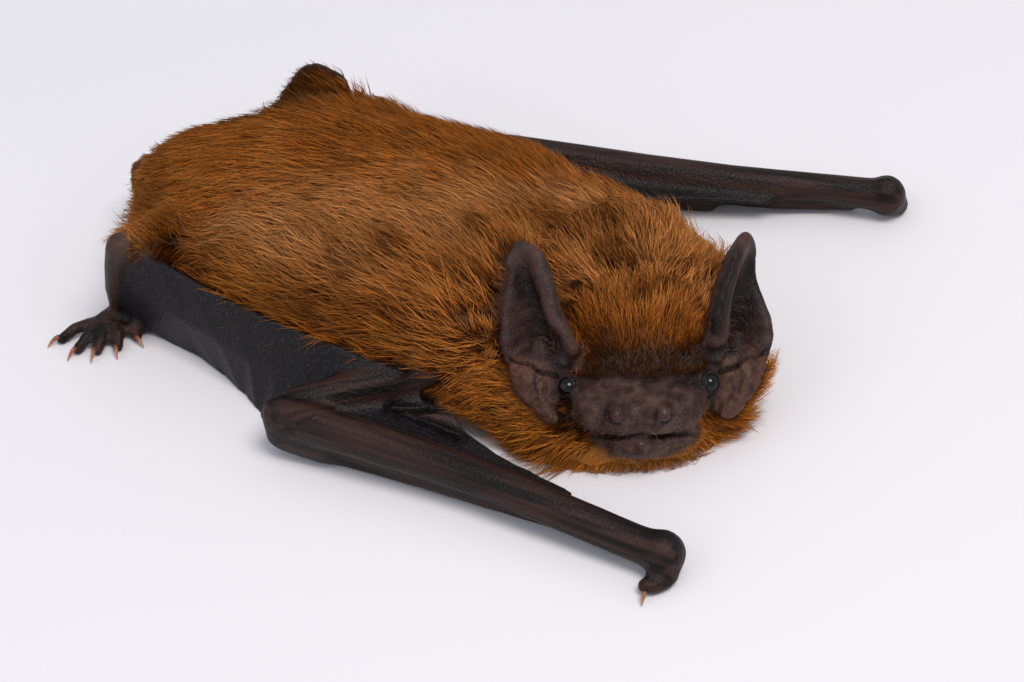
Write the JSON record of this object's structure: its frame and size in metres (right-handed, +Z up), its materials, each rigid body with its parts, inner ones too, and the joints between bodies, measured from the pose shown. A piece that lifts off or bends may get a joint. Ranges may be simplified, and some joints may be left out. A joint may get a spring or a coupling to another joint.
{
  "type": "bat",
  "caption": "Small brown bat lying on its belly with folded wings, head turned to its right, a still life-size model.",
  "frame": {"origin": "on the floor, under the middle of the bat's own box", "axes": "+Z up out of the floor, +Y along the spine towards the tail, +X to the bat's left"},
  "size_m": [0.0698, 0.0786, 0.019],
  "materials": {
    "coat": "dense soft fur, cinnamon brown with golden tips",
    "bare_skin": "bare satin skin, dark purplish brown, fine creases",
    "wing_membrane": "thin dark wrinkled skin, low satin sheen",
    "eye_gloss": "wet glossy black",
    "claw_horn": "polished translucent orange-brown horn"
  },
  "bodies": {
    "root": {"right_eye": "eye_gloss", "left_eye": "eye_gloss", "lower_jaw": "bare_skin", "muzzle": "bare_skin", "head": "coat", "right_tragus": "bare_skin", "right_ear": "bare_skin", "right_ear_lobe": "bare_skin", "left_tragus": "bare_skin", "left_ear": "bare_skin", "left_ear_lobe": "bare_skin", "throat": "coat", "right_foot": "bare_skin", "right_claw_1": "claw_horn", "right_claw_2": "claw_horn", "right_claw_3": "claw_horn", "right_claw_4": "claw_horn", "right_claw_5": "claw_horn", "left_foot": "bare_skin", "left_claw_1": "claw_horn", "left_claw_2": "claw_horn", "left_claw_3": "claw_horn", "left_claw_4": "claw_horn", "left_claw_5": "claw_horn", "trunk": "coat", "neck": "coat", "chest": "coat", "tail": "bare_skin", "right_wrist": "bare_skin", "right_thumb": "bare_skin", "right_thumb_claw": "claw_horn", "right_forearm": "bare_skin", "right_upper_arm": "bare_skin", "right_finger_3": "wing_membrane", "right_finger_4": "wing_membrane", "right_finger_5": "wing_membrane", "right_shin": "bare_skin", "right_thigh": "coat", "right_side_membrane": "wing_membrane", "right_arm_web": "wing_membrane", "right_tail_membrane": "coat", "left_wrist": "bare_skin", "left_thumb": "bare_skin", "left_thumb_claw": "claw_horn", "left_forearm": "bare_skin", "left_upper_arm": "bare_skin", "left_finger_3": "wing_membrane", "left_finger_4": "wing_membrane", "left_finger_5": "wing_membrane", "left_shin": "bare_skin", "left_thigh": "coat", "left_side_membrane": "wing_membrane", "left_arm_web": "wing_membrane", "left_tail_membrane": "coat"}
  },
  "joints": []
}
